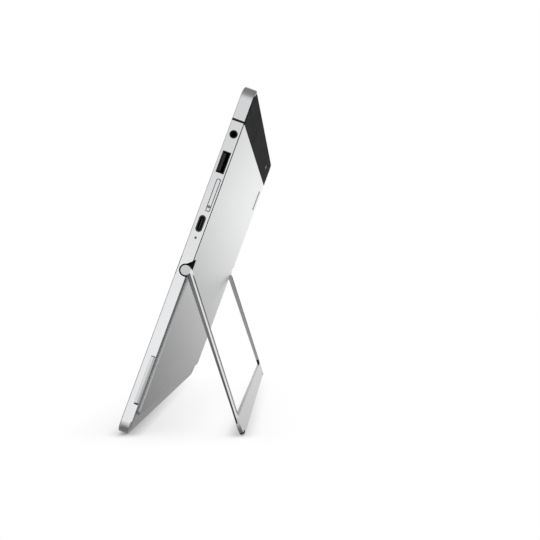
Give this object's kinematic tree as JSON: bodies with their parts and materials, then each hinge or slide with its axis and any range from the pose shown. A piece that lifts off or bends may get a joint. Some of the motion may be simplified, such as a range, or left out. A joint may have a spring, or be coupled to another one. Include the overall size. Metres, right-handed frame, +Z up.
{
  "type": "detachable tablet computer",
  "caption": "Slim aluminium tablet computer with a touch screen, side ports and a fold-out U-shaped kickstand, standing leaned back.",
  "frame": {"origin": "centre of the bounding box on the table plane under the standing tablet", "axes": "+Z up from the table, +X the user's right along the tablet's width, +Y away from the user; the screen faces -Y and is leaned back"},
  "size_m": [0.3, 0.0804, 0.2033],
  "materials": {
    "black_glass": "polished",
    "gasket": "matt",
    "screen": "glossy, lit",
    "magnesium": "matt",
    "frame_metal": "bead blasted, anodised",
    "back_metal": "fine blasted, anodised",
    "stand_metal": "satin",
    "dark_plastic": "fine textured",
    "black_plastic": "satin",
    "lens": "polished",
    "steel": "brushed",
    "gold_contact": "polished",
    "circuit_board": "solder resist",
    "chip": "moulded",
    "copper": "satin",
    "flex": "film",
    "cell_foil": "wrapped film",
    "cable_red": "insulation",
    "rubber_foot": "matt",
    "light_pipe": "translucent"
  },
  "bodies": {
    "tablet": {"cover_glass": "black_glass", "glass_gasket": "gasket", "display_panel": "screen", "display_support": "magnesium", "support_screws": "steel", "display_cable": "flex", "side_frame": "frame_metal", "top_frame": "frame_metal", "antenna_breaks": "dark_plastic", "back_plate": "back_metal", "radio_window": "dark_plastic", "rear_camera_window": "lens", "rear_camera": "black_plastic", "front_camera": "black_plastic", "microphones": "steel", "antennas": "flex", "antenna_cables": "black_plastic", "speaker_left": "black_plastic", "speaker_right": "black_plastic", "speaker_meshes": "gasket", "battery_cells": "cell_foil", "battery_tray": "black_plastic", "battery_board": "circuit_board", "battery_cable": "cable_red", "main_board": "circuit_board", "board_screws": "steel", "processor": "chip", "memory_chips": "chip", "board_chips": "chip", "heat_spreader": "copper", "solid_state_drive": "circuit_board", "wifi_card": "circuit_board", "modem_card": "circuit_board", "card_sockets": "black_plastic", "headset_jack": "black_plastic", "usb_a_shell": "steel", "usb_a_tongue": "black_plastic", "usb_c_shell": "steel", "usb_c_tongue": "black_plastic", "sim_reader": "steel", "charge_light": "light_pipe", "dock_connector": "black_plastic", "dock_contacts": "gold_contact", "dock_sockets": "steel", "dock_magnets": "steel", "button_board": "flex", "rocker_bracket": "steel", "rocker_pin": "steel", "hinge_barrels": "steel", "hinge_washers": "steel"},
    "stand": {"kickstand": "stand_metal", "kickstand_feet": "rubber_foot", "hinge_shafts": "steel", "hinge_nuts": "gold_contact", "hinge_caps": "stand_metal"},
    "card_tray": {"sim_tray": "frame_metal", "sim_card": "gold_contact"},
    "power_key": {"power_button": "frame_metal"},
    "volume_key": {"volume_rocker": "dark_plastic"}
  },
  "joints": [
    {"name": "kickstand_hinge", "type": "hinge", "parent": "tablet", "child": "stand", "pos_m": [0, -0.00062, 0.09582], "axis": [1, 0, 0], "range_deg": [-38.05, 94.95]},
    {"name": "card_tray_slide", "type": "slide", "parent": "tablet", "child": "card_tray", "axis": [1, 0, 0], "range_m": [0, 0.022]},
    {"name": "power_button_press", "type": "slide", "parent": "tablet", "child": "power_key", "axis": [0, -0.3437, -0.9391], "range_m": [0, 0.0003], "stiffness_N_per_m": 3000, "springref_m": -0.0001},
    {"name": "volume_rocker_rock", "type": "hinge", "parent": "tablet", "child": "volume_key", "pos_m": [-0.1235, 0.02527, 0.16323], "axis": [1, 0, 0], "range_deg": [-1.5, 1.5], "stiffness_Nm_per_rad": 1}
  ]
}
